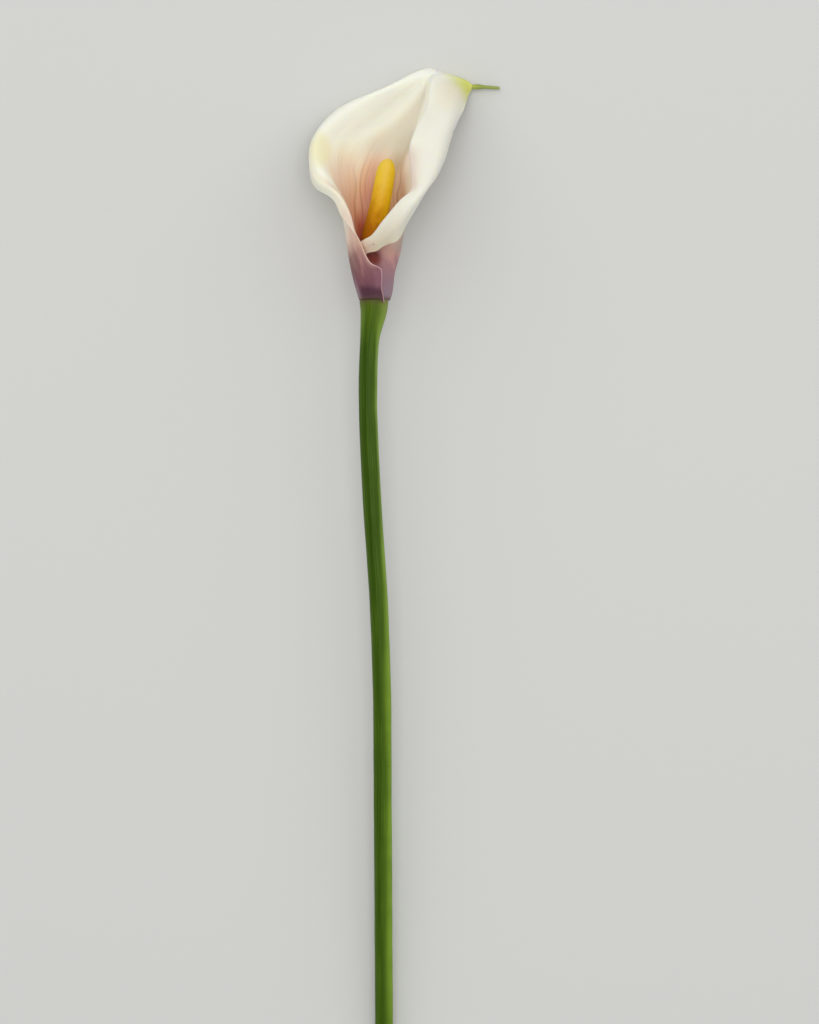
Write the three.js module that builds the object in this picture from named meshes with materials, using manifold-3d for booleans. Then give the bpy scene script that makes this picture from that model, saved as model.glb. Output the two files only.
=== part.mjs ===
// A calla lily: one cut bloom that lies on its back. It is its stem, its spathe with a tail, and its spadix.
// Lengths are in millimetres. The pieces are drawn from the neck, where the stem meets the spathe: x to the
// right, y along the flower towards the bloom, z up, out of the bloom's open side.
import * as THREE from 'three';
import { mergeVertices } from 'three/addons/utils/BufferGeometryUtils.js';
import Module from 'manifold-3d';

// The neck's place over the middle of the surface that the flower lies on.
const NECK = new THREE.Vector3(-13.4, 123.6, 26.3);

// The stem: its length to the cut end, its radius there, and the flare at its neck as distance and radius.
const STEM_LENGTH = 350;
const STEM_END_RADIUS = 3.95;
const STEM_FLARE = [[0, 6.3], [2.5, 6.1], [5, 5.75], [8, 5.35], [11, 4.9], [14, 4.5], [18, 4.2], [24, 4.1]];
const STEM_STEPS = 26;
const STEM_SIDES = 14;
const STEM_LINE = [
  [0, 0, -0.3], [0, -4, -0.3], [-1.8, -17, -0.8], [-2.6, -43, -2.4], [-0.9, -86, -5.2], [1.9, -129, -8.1],
  [3.4, -172, -11], [3.6, -207, -13.3], [4, -280, -18.1], [4.3, -STEM_LENGTH, STEM_END_RADIUS - NECK.z],
];

// The stem's round top, which the spathe wraps and the spadix grows from.
const TOP_RADIUS = 4.2;
const TOP_HEIGHT = 2.4;
const TOP_BEVEL = 0.8;
const SEAT_GAP = 0.35;

// The spadix: its middle line, its radius low down and near the tip, and the power that its thinning follows.
// The tip rounds off over a share of the length, to a share of the radius.
const SPADIX_LINE = [
  [0, TOP_HEIGHT + SEAT_GAP, -0.3], [0, 5.4, -0.3], [-0.3, 12, 0], [-0.8, 26.3, 0.2], [0.9, 33.6, 0.5],
  [2.6, 40.9, 0.8], [4, 48.4, 1], [5.3, 55.8, 1], [6.3, 60.6, 1],
];
const SPADIX_LOW_RADIUS = 4.7;
const SPADIX_HIGH_RADIUS = 3.9;
const SPADIX_TAPER = 3;
const SPADIX_TIP_SHARE = 0.12;
const SPADIX_TIP_END = 0.1;
const SPADIX_STEPS = 24;
const SPADIX_SIDES = 16;

// The tail: the tip's green point, as its middle line and its radius at each point of that line.
const TAIL_LINE = [
  [41.3, 95.4, -22.9], [42.9, 95.2, -23.1], [46.6, 95.2, -23.4], [51, 95, -23.8], [55.1, 94.7, -24],
];
const TAIL_RADII = [0.6, 1.15, 0.78, 0.72, 0.66];
const TAIL_STEPS = 12;
const TAIL_SIDES = 10;

// The spathe is one leaf, rolled to a funnel. Each line below runs along it from the neck to the tip. They
// stand in order round the funnel: from the right margin, over the right lip, down the inside, round the
// back, and up the left side to the left margin, which wraps over the right one at the front of the tube.
const SPATHE_THICKNESS = 0.8;
const EDGE_THICKNESS = 0.4;
const EDGE_SHARE = 0.2;
const TIP_SHARE = 0.2;
const STEPS_BETWEEN_LINES = 4;
const STEPS_BETWEEN_STATIONS = 3;
const RIGHT_MARGIN = [
  [-2.2, 0, 4.7], [-2.9, 3.6, 5.4], [-4.2, 10.6, 6.6], [-4.6, 17.5, 8.8],
  [2.5, 20.8, 15.5], [9.6, 24.9, 15.5], [15.9, 34.7, 11], [22.8, 46.5, 5],
  [27.8, 53.9, 0], [31.3, 63.4, -4], [34.4, 74, -9], [38.7, 83.6, -15],
  [40.6, 90, -20.3], [41.3, 91.8, -22.5], [42, 93.1, -23.4], [42.7, 94.4, -24.2],
];
const RIGHT_ROLL = [
  [1.3, 0, 5.1], [1, 3.6, 5.9], [0.1, 10.5, 7.3], [-5.8, 20.5, 8.9],
  [1.3, 23.2, 16.6], [7.9, 28.6, 18.2], [15.5, 38.6, 17.8], [21.2, 45.6, 15.5],
  [25.3, 53.4, 11], [27.9, 62.8, 8], [30.1, 72.1, 5], [32.8, 81.8, -2],
  [35.5, 91.3, -11], [38.9, 93.9, -18.4], [41.4, 94.2, -21.8], [42.8, 94.2, -23.2],
];
const RIGHT_FOLD = [
  [4.7, 0, 3.5], [5, 3.6, 4.7], [4.4, 10.6, 6.6], [-7, 23.8, 8],
  [-0.9, 25.9, 13.8], [4.4, 32.2, 16], [11.5, 40.7, 16.5], [17.2, 46.4, 14.8],
  [16.4, 54.5, 12.5], [14.9, 62.5, 10], [18.3, 72.2, 7], [23.1, 82.9, -1],
  [26, 95.8, -9.5], [33.6, 97.3, -16.1], [40.1, 95.9, -20.9], [42.8, 94.4, -22.4],
];
const RIGHT_FRONT = [
  [6.1, 0, 1.6], [6.9, 3.6, 2.3], [7.2, 10.9, 3.4], [3.4, 19.6, 6.1],
  [7, 24.8, 10.4], [10.4, 31, 12.2], [14.7, 39.2, 12], [15.9, 46.5, 8],
  [15.3, 55.3, 5.5], [15.9, 64.3, 3], [19.6, 73.5, 0], [23.8, 84.5, -6.5],
  [25.3, 97.1, -12], [32.3, 98.3, -16.4], [39.8, 96.6, -20.8], [42.8, 94.8, -22],
];
const RIGHT_WALL = [
  [6.6, 0, -1], [7.6, 3.6, -0.9], [8.5, 11.2, -0.5], [10.2, 18, 1],
  [11.6, 23.9, 2.5], [12.9, 29.9, 3], [15.1, 37.7, 2.5], [14.2, 47.2, -2],
  [13.6, 57.2, -6], [15.9, 66.5, -8], [19.2, 76.2, -12], [22.7, 88, -15],
  [24.8, 98, -15], [31.5, 99.1, -17.1], [39.6, 97.1, -20.9], [42.8, 95.2, -21.9],
];
const BACK = [
  [0, 0, -5.9], [0, 3.9, -7], [-0.1, 12, -9.2], [-0.1, 18.2, -10.8],
  [0.1, 24.4, -12], [0, 31.5, -13.4], [0.7, 40.4, -15.4], [1.5, 49.4, -17.6],
  [3, 58.9, -20.2], [5.4, 69.3, -22.6], [9.4, 79.6, -23.8], [15.9, 90.3, -22],
  [24.7, 99.4, -16.7], [31, 99.7, -18.1], [39.4, 97.6, -21.2], [42.8, 95.6, -22],
];
const LEFT_WALL = [
  [-6, 0, -1], [-7.1, 3.6, -1], [-9.1, 11.3, -1], [-10.3, 17.3, -1],
  [-11, 23.4, -0.8], [-12.2, 30.7, -1.5], [-13.7, 40.1, -3.4], [-14.8, 48.5, -5.8],
  [-16.6, 58.9, -9.4], [-15.9, 71.6, -14], [-4.6, 82.4, -18], [10.4, 92.8, -19],
  [24.2, 100.6, -17.5], [30.5, 100.1, -19.1], [39.2, 98, -21.8], [42.8, 95.9, -22.3],
];
const LEFT_FOLD = [
  [-4.5, 0, 4.9], [-5.6, 3.6, 5.5], [-7.4, 11.1, 6.6], [-7.8, 18.2, 8.4],
  [-8.4, 26.3, 9.4], [-10.3, 34.9, 9], [-13.2, 43.1, 8], [-19, 50.4, 6.4],
  [-24.1, 58, 1.2], [-24.9, 70.5, -7], [-13.2, 84, -14.5], [6.3, 94.1, -17.8],
  [23.6, 101.8, -18.7], [30.2, 100.8, -21], [39, 98.4, -22.8], [42.7, 96.1, -22.9],
];
const LEFT_ROLL = [
  [-0.4, 0, 6.9], [-1.1, 3.6, 8], [-3, 10.8, 10], [-4.8, 18.3, 11.6],
  [-7.7, 27.2, 11.6], [-10.6, 36.4, 12.8], [-15.7, 44.5, 10.2], [-23.3, 50.2, 6.2],
  [-27.2, 58, -1.5], [-26.9, 70.4, -10.3], [-15.8, 84.7, -17.3], [4.6, 94.4, -20.8],
  [22.8, 102.7, -21], [29.9, 101.3, -23], [39, 98.6, -24], [42.7, 96.2, -23.6],
];
const LEFT_MARGIN = [
  [4.5, 0, 5.9], [3.9, 3.9, 7.1], [3.5, 12, 9.6], [-1.8, 15.2, 11.8],
  [-7.1, 26.3, 13.4], [-13.6, 34.4, 11.4], [-17.4, 42.2, 7.8], [-25.4, 48.4, 1],
  [-28.1, 57.9, -8.5], [-26, 71.4, -17.4], [-14.5, 84.6, -25.5], [5.4, 93.8, -25.9],
  [22.4, 102.4, -26.2], [29.9, 100.9, -25.9], [39.3, 98.2, -25.2], [42.7, 96, -24.2],
];
// Between the back and each wall runs one more line, at these shares of the way across, along and up. They
// make a round tube low down, a shallower bowl on the open limb's left, and a round ridge towards the tip.
const TUBE_SHARES = [0.72, 0.6, 0.28];
const BOWL_SHARES = [0.56, 0.5, 0.3];
const RIDGE_SHARES = [0.5, 0.5, 0.55];
const TUBE_TO_BOWL = [5, 10];
const BOWL_TO_RIDGE = [11, 14];

// Points nearer than this are one point.
const MERGE_TOLERANCE = 1e-5;

// One round bar round a line. Each ring has its share of the way along the line, its radius, and how far it
// is pushed on along the line's direction there.
function bar(line, rings, sides) {
  const curve = new THREE.CatmullRomCurve3(line.map((p) => new THREE.Vector3(...p)));
  const side = new THREE.Vector3();
  const up = new THREE.Vector3();
  const positions = [];
  for (const [share, radius, push = 0] of rings) {
    const middle = curve.getPointAt(share);
    const tangent = curve.getTangentAt(share);
    side.crossVectors(tangent, new THREE.Vector3(0, 0, 1)).normalize();
    up.crossVectors(side, tangent);
    middle.addScaledVector(tangent, push);
    for (let k = 0; k < sides; k++) {
      const angle = (2 * Math.PI * k) / sides;
      const point = middle.clone().addScaledVector(side, radius * Math.cos(angle));
      positions.push(...point.addScaledVector(up, radius * Math.sin(angle)));
    }
  }
  const index = [];
  for (let j = 0; j < rings.length - 1; j++) {
    for (let k = 0; k < sides; k++) {
      const a = j * sides + k;
      const b = j * sides + ((k + 1) % sides);
      index.push(a, a + sides, b, b, a + sides, b + sides);
    }
  }
  const last = (rings.length - 1) * sides;
  for (let k = 1; k < sides - 1; k++) {
    index.push(0, k, k + 1, last, last + k + 1, last + k);
  }
  return solid(positions, index);
}

function solid(positions, index) {
  const geometry = new THREE.BufferGeometry();
  geometry.setAttribute('position', new THREE.Float32BufferAttribute(positions, 3));
  geometry.setIndex(index);
  return geometry;
}

// The stem, from the round top inside the spathe over the shoulder and the flare to the cut end.
function stemGeometry() {
  const rings = [
    [0, TOP_RADIUS - TOP_BEVEL, -TOP_HEIGHT], [0, TOP_RADIUS, TOP_BEVEL - TOP_HEIGHT],
    [0, TOP_RADIUS, SEAT_GAP], [0, STEM_FLARE[0][1], SEAT_GAP],
  ];
  STEM_FLARE.slice(1).forEach(([distance, radius]) => rings.push([distance / STEM_LENGTH, radius]));
  const [flareEnd, flareRadius] = STEM_FLARE.at(-1);
  for (let j = 1; j <= STEM_STEPS; j++) {
    const distance = THREE.MathUtils.lerp(flareEnd, STEM_LENGTH, j / STEM_STEPS);
    rings.push([distance / STEM_LENGTH, THREE.MathUtils.lerp(flareRadius, STEM_END_RADIUS, j / STEM_STEPS)]);
  }
  return bar(STEM_LINE, rings, STEM_SIDES);
}

// The spadix: a long cone that thins a little, with a round tip.
function spadixGeometry() {
  const rings = [];
  for (let j = 0; j <= SPADIX_STEPS; j++) {
    const share = Math.sin((Math.PI / 2) * (j / SPADIX_STEPS));
    const radius = THREE.MathUtils.lerp(SPADIX_LOW_RADIUS, SPADIX_HIGH_RADIUS, share ** SPADIX_TAPER);
    const tip = Math.max(0, (share - 1 + SPADIX_TIP_SHARE) / SPADIX_TIP_SHARE);
    rings.push([share, radius * Math.max(Math.sqrt(1 - tip * tip), SPADIX_TIP_END)]);
  }
  return bar(SPADIX_LINE, rings, SPADIX_SIDES);
}

function tailGeometry() {
  const radii = new THREE.SplineCurve(TAIL_RADII.map((radius, k) => new THREE.Vector2(k, radius)));
  const rings = [];
  for (let j = 0; j <= TAIL_STEPS; j++) {
    rings.push([j / TAIL_STEPS, radii.getPoint(j / TAIL_STEPS).y]);
  }
  return bar(TAIL_LINE, rings, TAIL_SIDES);
}

function between(back, wall, bowl) {
  const { lerp, smoothstep } = THREE.MathUtils;
  return back.map((point, station) => {
    const opened = smoothstep(station, ...TUBE_TO_BOWL);
    const closed = smoothstep(station, ...BOWL_TO_RIDGE);
    return point.map((from, axis) => {
      const share = lerp(lerp(TUBE_SHARES[axis], bowl[axis], opened), RIDGE_SHARES[axis], closed);
      return lerp(from, wall[station][axis], share);
    });
  });
}

// The spathe's middle face as rows of points: a curve along each line, and at each step one across them all.
function spatheRows() {
  const lines = [
    RIGHT_MARGIN, RIGHT_ROLL, RIGHT_FOLD, RIGHT_FRONT, RIGHT_WALL, between(BACK, RIGHT_WALL, TUBE_SHARES),
    BACK, between(BACK, LEFT_WALL, BOWL_SHARES), LEFT_WALL, LEFT_FOLD, LEFT_ROLL, LEFT_MARGIN,
  ];
  const curves = lines.map((line) => new THREE.CatmullRomCurve3(line.map((p) => new THREE.Vector3(...p))));
  const along = (BACK.length - 1) * STEPS_BETWEEN_STATIONS;
  const across = (lines.length - 1) * STEPS_BETWEEN_LINES;
  const rows = [];
  for (let j = 0; j <= along; j++) {
    const section = new THREE.CatmullRomCurve3(curves.map((curve) => curve.getPoint(j / along)));
    rows.push(Array.from({ length: across + 1 }, (_, i) => section.getPoint(i / across)));
  }
  return rows;
}

// The leaf thins to its two margins and to its tip.
function thicknessAt(across, along) {
  const { lerp, smoothstep } = THREE.MathUtils;
  const inset = smoothstep(Math.min(across, 1 - across), 0, EDGE_SHARE) * smoothstep(1 - along, 0, TIP_SHARE);
  return lerp(EDGE_THICKNESS, SPATHE_THICKNESS, inset);
}

// The leaf's two faces, half its thickness to each side of the middle face, closed round their border.
function leafGeometry(rows) {
  const along = rows.length;
  const across = rows[0].length;
  const positions = [[], []];
  const ahead = new THREE.Vector3();
  const aside = new THREE.Vector3();
  for (let j = 0; j < along; j++) {
    for (let i = 0; i < across; i++) {
      ahead.subVectors(rows[Math.min(j + 1, along - 1)][i], rows[Math.max(j - 1, 0)][i]);
      aside.subVectors(rows[j][Math.min(i + 1, across - 1)], rows[j][Math.max(i - 1, 0)]);
      const normal = new THREE.Vector3().crossVectors(aside, ahead).normalize();
      const half = thicknessAt(i / (across - 1), j / (along - 1)) / 2;
      positions[0].push(...rows[j][i].clone().addScaledVector(normal, half));
      positions[1].push(...rows[j][i].clone().addScaledVector(normal, -half));
    }
  }
  const face = along * across;
  const index = [];
  for (let j = 0; j < along - 1; j++) {
    for (let i = 0; i < across - 1; i++) {
      const a = j * across + i;
      const b = a + across;
      index.push(a, a + 1, b + 1, a, b + 1, b);
      index.push(face + a, face + b + 1, face + a + 1, face + a, face + b, face + b + 1);
    }
  }
  const edge = (from, to) => index.push(from, face + from, face + to, from, face + to, to);
  for (let i = 0; i < across - 1; i++) {
    edge(i, i + 1);
    edge(face - 1 - i, face - 2 - i);
  }
  for (let j = 1; j < along; j++) {
    edge(j * across - 1, (j + 1) * across - 1);
    edge(j * across, (j - 1) * across);
  }
  return solid(positions.flat(), index);
}

// The spathe's leaf and its tail are one grown piece.
async function spatheGeometry() {
  const wasm = await Module();
  wasm.setup();
  const closed = (geometry) => {
    const merged = mergeVertices(geometry, MERGE_TOLERANCE);
    const vertProperties = merged.attributes.position.array;
    const triVerts = new Uint32Array(merged.index.array);
    return new wasm.Manifold(new wasm.Mesh({ numProp: 3, vertProperties, triVerts }));
  };
  const leaf = closed(leafGeometry(spatheRows()));
  const joined = leaf.add(closed(tailGeometry())).getMesh();
  return solid(Array.from(joined.vertProperties), Array.from(joined.triVerts));
}

function piece(name, geometry, color, roughness) {
  const material = new THREE.MeshStandardMaterial({ color, roughness, metalness: 0 });
  const mesh = new THREE.Mesh(geometry, material);
  mesh.name = name;
  return mesh;
}

const flower = new THREE.Group();
flower.position.copy(NECK);
flower.add(piece('stem', stemGeometry(), 0x5f8a1e, 0.5));
flower.add(piece('spathe', await spatheGeometry(), 0xf0eedc, 0.55));
flower.add(piece('spadix', spadixGeometry(), 0xe0a91c, 0.75));

export default flower;
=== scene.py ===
# A cut calla lily lying on its back: the looks of its stem, spathe and spadix.
import math

import bmesh
import bpy
import numpy as np
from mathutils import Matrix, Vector, noise


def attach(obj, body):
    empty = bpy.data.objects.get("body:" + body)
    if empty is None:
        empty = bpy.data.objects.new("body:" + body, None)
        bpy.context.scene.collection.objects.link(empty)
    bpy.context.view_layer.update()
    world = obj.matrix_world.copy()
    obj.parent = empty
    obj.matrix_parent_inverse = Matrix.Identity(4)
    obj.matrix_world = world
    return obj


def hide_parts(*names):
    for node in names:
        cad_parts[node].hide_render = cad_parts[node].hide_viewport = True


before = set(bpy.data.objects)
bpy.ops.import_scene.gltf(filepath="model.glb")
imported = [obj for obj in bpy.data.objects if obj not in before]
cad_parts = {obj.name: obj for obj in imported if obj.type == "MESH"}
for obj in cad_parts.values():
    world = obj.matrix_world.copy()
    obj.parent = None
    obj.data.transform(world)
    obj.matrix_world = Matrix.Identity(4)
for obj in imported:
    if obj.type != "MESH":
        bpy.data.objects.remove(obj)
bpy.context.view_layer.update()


# The stem. A calla's stalk is one smooth, leafless bar of watery tissue under a thin waxy skin. It widens to
# a paler neck under the bloom, fine fibres run along it, and a straight cut at its foot shows the spongy
# inside. Lengths are millimetres from the neck, where stem and spathe meet: x right, y to the bloom, z up.
NECK = np.array([-13.4, 123.6, 26.3])
STEM_LENGTH = 350
STEM_END_RADIUS = 3.95
# The flare below the neck, as distance along the stem and radius, and the line of the stem's middle.
STEM_FLARE = [[0, 6.3], [2.5, 6.1], [5, 5.75], [8, 5.35], [11, 4.9], [14, 4.5], [18, 4.2], [24, 4.1]]
STEM_LINE = [
    [0, 0, -0.3], [0, -4, -0.3], [-1.8, -17, -0.8], [-2.6, -43, -2.4], [-0.9, -86, -5.2], [1.9, -129, -8.1],
    [3.4, -172, -11], [3.6, -207, -13.3], [4, -280, -18.1], [4.3, -STEM_LENGTH, STEM_END_RADIUS - NECK[2]],
]
# The top inside the spathe and the cut foot, as distance along the stem and radius.
STEM_TOP = [
    [-2.4, 0], [-2.4, 1.6], [-2.4, 3.2], [-2.1, 3.9], [-1.6, 4.2], [-0.4, 4.2], [-0.1, 4.6], [-0.04, 5.6],
    [0.02, 6.1],
]
STEM_FOOT = [
    [0, 3.83], [0, 3.6], [-0.12, 3.35], [-0.2, 3.1], [-0.24, 2.5], [-0.22, 1.9], [-0.24, 1.3], [-0.2, 0.7],
    [-0.2, 0],
]
STEM_ROWS = 270
STEM_SIDES = 72
# The skin swells and ribs a little. Under the neck's first few millimetres it is still smooth.
SMOOTH_NECK = 3
RIBS = 13
RIB_HEIGHT = 0.035
RIB_WANDER = 1.5
SWELLING = 0.09
SWELL_MIDDLE = 0.4
SWELLS_ROUND = 2.2
SWELL_LENGTH = 14
# The painted light's edge on the stalk's right side wanders over this length. The cut's spongy relief has a
# grain of about 0.6 mm.
PAINTED_LIGHT_WANDER = 0.15
PAINTED_LIGHT_WANDER_LENGTH = 45
PITH_RELIEF = 0.09
PITH_GRAIN = 1.7


def smooth_line(points, places):
    """The centripetal Catmull-Rom curve through points, at places counted in points from 0."""
    points = np.asarray(points, float)
    knots = np.concatenate([2 * points[:1] - points[1:2], points, 2 * points[-1:] - points[-2:-1]])
    first = np.clip(places.astype(int), 0, len(points) - 2)
    share = (places - first).reshape(-1, *[1] * (points.ndim - 1))
    a, b, c, d = (knots[first + k] for k in range(4))
    before, between, after = (
        np.maximum(np.linalg.norm(end - start, axis=-1, keepdims=True), 1e-8) ** 0.5
        for start, end in ((a, b), (b, c), (c, d))
    )
    leaving = ((b - a) / before - (c - a) / (before + between) + (c - b) / between) * between
    coming = ((c - b) / between - (d - b) / (between + after) + (d - c) / after) * between
    return (
        b + leaving * share + (3 * (c - b) - 2 * leaving - coming) * share**2
        + (2 * (b - c) + leaving + coming) * share**3
    )


def bar(line, distances, radii, sides, steps=2000):
    """Rows of points round a line: one ring at each distance along it, and one radius for each point."""
    fine = smooth_line(line, np.linspace(0, len(line) - 1, steps))
    reach = np.concatenate([[0], np.cumsum(np.linalg.norm(np.diff(fine, axis=0), axis=1))])
    reach *= max(distances) / reach[-1]
    middle = np.array([np.interp(distances, reach, fine[:, k]) for k in range(3)]).T
    slope = np.array([np.interp(distances, reach, np.gradient(fine, axis=0)[:, k]) for k in range(3)]).T
    ahead = slope / np.linalg.norm(slope, axis=1, keepdims=True)
    middle += ahead * np.minimum(distances, 0)[:, None]
    side = np.cross(ahead, [0, 0, 1])
    side /= np.linalg.norm(side, axis=1, keepdims=True)
    up = np.cross(side, ahead)
    turn = -2 * math.pi * np.arange(sides + 1) / sides
    out = side[:, None] * np.cos(turn)[:, None] + up[:, None] * np.sin(turn)[:, None]
    return middle[:, None] + out * radii[..., None]


def grow(name, rows, **marks):
    """A smooth piece from rows of points. Each mark is one number for each point, kept as an attribute."""
    along, across = rows.shape[:2]
    bm = bmesh.new()
    bm.loops.layers.uv.new("grown")
    kept = {mark: bm.verts.layers.float.new(mark) for mark in marks}
    bmesh.ops.create_grid(bm, x_segments=across - 1, y_segments=along - 1, size=0.5, calc_uvs=True)
    for vert in bm.verts:
        i = round((vert.co.x + 0.5) * (across - 1))
        j = round((vert.co.y + 0.5) * (along - 1))
        vert.co = Vector((rows[j, i] + NECK) / 1000)
        for mark, values in marks.items():
            vert[kept[mark]] = values[j, i]
    bmesh.ops.remove_doubles(bm, verts=bm.verts, dist=1e-6)
    for face in bm.faces:
        face.smooth = True
    mesh = bpy.data.meshes.new(name)
    bm.to_mesh(mesh)
    bm.free()
    piece = bpy.data.objects.new(name, mesh)
    bpy.context.scene.collection.objects.link(piece)
    return piece


def ease(value, low, high):
    """From 0 at low to 1 at high, with a soft start and end."""
    share = np.clip((value - low) / (high - low), 0, 1)
    return share * share * (3 - 2 * share)


def stem_rows():
    """The stalk's surface, and its marks: the cut's pale inside, where light is painted on, and the distance
    along.
    """
    top, foot = np.array(STEM_TOP, float), np.array(STEM_FOOT, float)
    shaft = np.linspace(0.3, STEM_LENGTH - 0.25, STEM_ROWS)
    cut = len(top) + len(shaft)
    distances = np.concatenate([top[:, 0], shaft, STEM_LENGTH + foot[:, 0]])
    flare = smooth_line(STEM_FLARE, np.linspace(0, len(STEM_FLARE) - 1, 80))
    taper = np.interp(shaft, [STEM_FLARE[-1][0], STEM_LENGTH], [0, STEM_END_RADIUS - STEM_FLARE[-1][1]])
    radii = np.concatenate([top[:, 1], np.interp(shaft, flare[:, 0], flare[:, 1]) + taper, foot[:, 1]])
    turn = 2 * math.pi * np.arange(STEM_SIDES + 1) / STEM_SIDES
    rows = np.repeat(radii[:, None], STEM_SIDES + 1, axis=1)
    pith = np.zeros_like(rows)
    painted_light_side = np.zeros_like(rows)
    pith[cut + 2:] = 1
    for j, distance in enumerate(distances):
        skin = min(1, max(0, distance / SMOOTH_NECK)) if j < cut else 0
        neck = ease(distance, 22, 8)
        for i, angle in enumerate(turn):
            x, y = math.cos(angle), math.sin(angle)
            place = Vector((SWELLS_ROUND * x, SWELLS_ROUND * y, distance / SWELL_LENGTH))
            swell = noise.noise(place)
            rib = math.cos(RIBS * angle + RIB_WANDER * noise.noise(place * 0.5))
            rows[j, i] += skin * (SWELLING * (swell - SWELL_MIDDLE) + RIB_HEIGHT * (rib - 1))
            # Painted light: the right side is painted paler, with a highlight stripe down its right edge
            # that widens at the neck and lower down, and a painted light edge down the left side, strongest
            # at the neck.
            side = PAINTED_LIGHT_WANDER * noise.noise(Vector((x, y, distance / PAINTED_LIGHT_WANDER_LENGTH))) - x
            painted_light_side[j, i] = (
                0.1 * ease(side, -0.3, 0.15) + (0.15 + 0.35 * neck) * ease(side, -0.45, -1)
                + 0.85 * ease(side, 0.62 - 0.45 * neck - 0.55 * ease(distance, 85, 170), 1)
            )
    placed = bar(STEM_LINE, distances, rows, STEM_SIDES)
    for j in range(cut + 3, len(distances) - 1):
        for i in range(STEM_SIDES + 1):
            placed[j, i, 1] += PITH_RELIEF * noise.noise(Vector(placed[j, i] * PITH_GRAIN))
        placed[j, -1] = placed[j, 0]
    distances = np.repeat(distances[:, None], STEM_SIDES + 1, axis=1)
    return placed, {"pith": pith, "painted_light_side": painted_light_side, "distance": distances}


stem_points, stem_marks = stem_rows()
stem = grow("stem_stalk", stem_points, **stem_marks)


def linear(hexed):
    """An sRGB hex colour as the linear colour that a shader takes."""
    srgb = [int(hexed[k:k + 2], 16) / 255 for k in (0, 2, 4)]
    return tuple(v / 12.92 if v <= 0.04045 else ((v + 0.055) / 1.055) ** 2.4 for v in srgb) + (1,)


def add(material, kind, inputs=(), stops=(), **settings):
    """Adds a node to a material. Inputs are values, hex colours or other nodes' outputs. A ramp's stops are
    places with a hex colour or a grey number."""
    tree = material.node_tree
    node = tree.nodes.new("ShaderNode" + kind)
    for name, value in settings.items():
        setattr(node, name, value)
    for name, value in dict(inputs).items():
        if isinstance(value, bpy.types.NodeSocket):
            tree.links.new(value, node.inputs[name])
        else:
            node.inputs[name].default_value = linear(value) if isinstance(value, str) else value
    for k, (position, colour) in enumerate(stops):
        ramp = node.color_ramp.elements
        element = ramp[k] if k < len(ramp) else ramp.new(position)
        element.position = position
        element.color = linear(colour) if isinstance(colour, str) else (colour, colour, colour, 1)
    return node


TISSUE_IOR = 1.42
RED_GREEN_BLUE_REACH = (1.0, 0.85, 0.55)


def tissue(name, roughness, specular, scatter, depth):
    """A new material of living tissue: skin over flesh that light enters to a depth in millimetres."""
    material = bpy.data.materials.new(name)
    material.use_nodes = True
    skin = material.node_tree.nodes["Principled BSDF"]
    skin.inputs["Roughness"].default_value = roughness
    skin.inputs["Specular IOR Level"].default_value = specular
    skin.inputs["IOR"].default_value = TISSUE_IOR
    skin.inputs["Subsurface Weight"].default_value = scatter
    skin.inputs["Subsurface Scale"].default_value = depth / 1000
    skin.inputs["Subsurface Radius"].default_value = RED_GREEN_BLUE_REACH
    return material, skin


# Calla stalk: waxy green skin over pale flesh, stained brown at the neck. Its green comes as a shaded and a
# lit
# copy: painted light pales its right side, with a painted highlight down its right edge and a painted light
# edge down its left, and the wax adds a faint gloss. The fibres under the skin show as streaks about half a
# millimetre wide and 40 mm long, over cloudy patches of about 18 mm, and the cut shows spongy cells of about
# 0.7 mm.
FIBRES_ROUND, FIBRES_ALONG = 46, 9
CLOUD_SCALE = 55
CELL_SCALE = 1400
# Shaded and lit copies of the stalk's green along its length, for the painted shade and painted light.
STALK_PAINTED_SHADE = [
    (0, "665a38"), (0.0035, "545226"), (0.007, "485a10"), (0.02, "3c5604"), (0.06, "2c4600"),
    (0.3, "2a4400"), (0.5, "324e00"), (0.95, "324e00"), (1, "5a7420"),
]
STALK_PAINTED_LIT = [
    (0, "8c8262"), (0.0035, "8c8c58"), (0.008, "8a9b4c"), (0.03, "84a042"), (0.08, "86a44c"),
    (0.5, "80a034"), (0.95, "82a234"), (1, "86a048"),
]
stalk, stalk_skin = tissue("calla_stalk_waxy_green", roughness=0.42, specular=0.12, scatter=0.15, depth=0.8)
distance = add(stalk, "Attribute", attribute_name="distance")
grown = add(stalk, "UVMap", uv_map="grown")
fibre_place = add(stalk, "VectorMath", {
    0: grown.outputs["UV"], 1: (FIBRES_ROUND, FIBRES_ALONG, 1),
}, operation="MULTIPLY")
fibres = add(stalk, "TexNoise", {
    "Vector": fibre_place.outputs[0], "Scale": 1, "Detail": 4, "Roughness": 0.6,
})
stalk_object = add(stalk, "TexCoord")
cloud = add(stalk, "TexNoise", {"Vector": stalk_object.outputs["Object"], "Scale": CLOUD_SCALE, "Detail": 2})
along_stem = add(stalk, "MapRange", {
    "Value": distance.outputs["Fac"], "From Min": 0, "From Max": STEM_LENGTH,
})
painted_shade_green = add(stalk, "ValToRGB", {"Fac": along_stem.outputs[0]}, stops=STALK_PAINTED_SHADE)
painted_lit_green = add(stalk, "ValToRGB", {"Fac": along_stem.outputs[0]}, stops=STALK_PAINTED_LIT)
painted_light_side = add(stalk, "Attribute", attribute_name="painted_light_side")
stalk_green = add(stalk, "Mix", {
    0: painted_light_side.outputs["Fac"], 6: painted_shade_green.outputs["Color"], 7: painted_lit_green.outputs["Color"],
}, data_type="RGBA")
fibre_factor = add(stalk, "MapRange", {
    "Value": fibres.outputs["Fac"], "From Min": 0.45, "From Max": 0.75, "To Max": 0.3,
})
streaked = add(stalk, "Mix", {
    0: fibre_factor.outputs[0], 6: stalk_green.outputs[2], 7: "7a9a28",
}, data_type="RGBA")
shaded_factor = add(stalk, "MapRange", {
    "Value": cloud.outputs["Fac"], "From Min": 0.4, "From Max": 0.7, "To Max": 0.35,
})
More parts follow.
